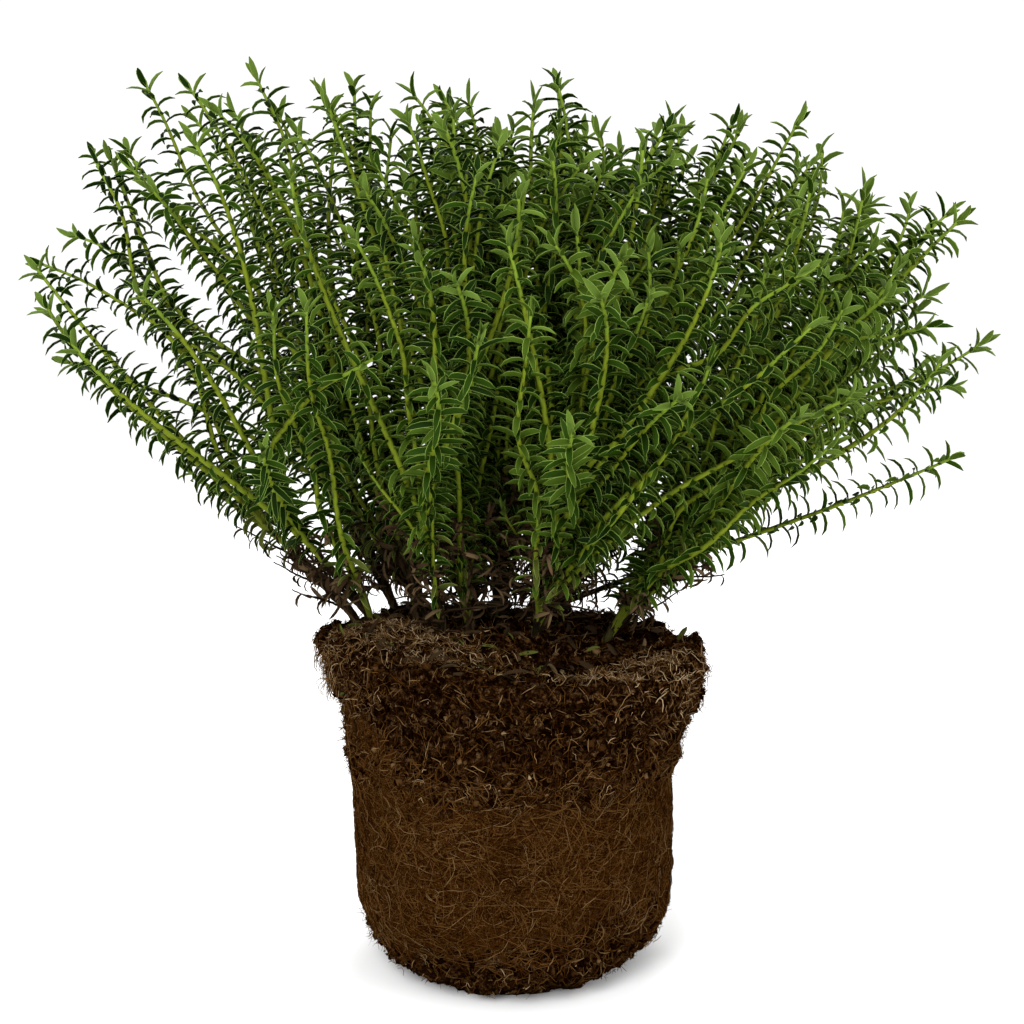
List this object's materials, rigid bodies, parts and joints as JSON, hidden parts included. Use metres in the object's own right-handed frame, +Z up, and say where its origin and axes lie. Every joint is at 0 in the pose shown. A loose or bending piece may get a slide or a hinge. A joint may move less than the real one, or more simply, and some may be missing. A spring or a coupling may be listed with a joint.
{
  "type": "hebe plant with root ball",
  "caption": "Small-leaved evergreen shrub out of its pot: fine upright leafy shoots fan from woody stems on a round fibrous root ball.",
  "frame": {"origin": "centre of the root ball's flat underside", "axes": "+Z up through the crown, -Y towards the side that the picture shows, +X to the picture's right"},
  "size_m": [0.4317, 0.2877, 0.405],
  "materials": {
    "root_ball": "matte",
    "bark": "matte",
    "foliage": "satin"
  },
  "bodies": {
    "root": {"root_ball": "root_ball", "stem_00": "bark", "stem_01": "bark", "stem_02": "bark", "stem_03": "bark", "stem_04": "bark", "stem_05": "bark", "stem_06": "bark", "stem_07": "bark", "stem_08": "bark", "stem_09": "bark", "stem_10": "bark", "stem_11": "bark", "stem_12": "bark", "stem_13": "bark", "stem_14": "bark", "foliage_00": "foliage", "foliage_01": "foliage", "foliage_02": "foliage", "foliage_03": "foliage", "foliage_04": "foliage", "foliage_05": "foliage", "foliage_06": "foliage", "foliage_07": "foliage", "foliage_08": "foliage", "foliage_09": "foliage", "foliage_10": "foliage", "foliage_11": "foliage", "foliage_12": "foliage", "foliage_13": "foliage", "foliage_14": "foliage"}
  },
  "joints": []
}
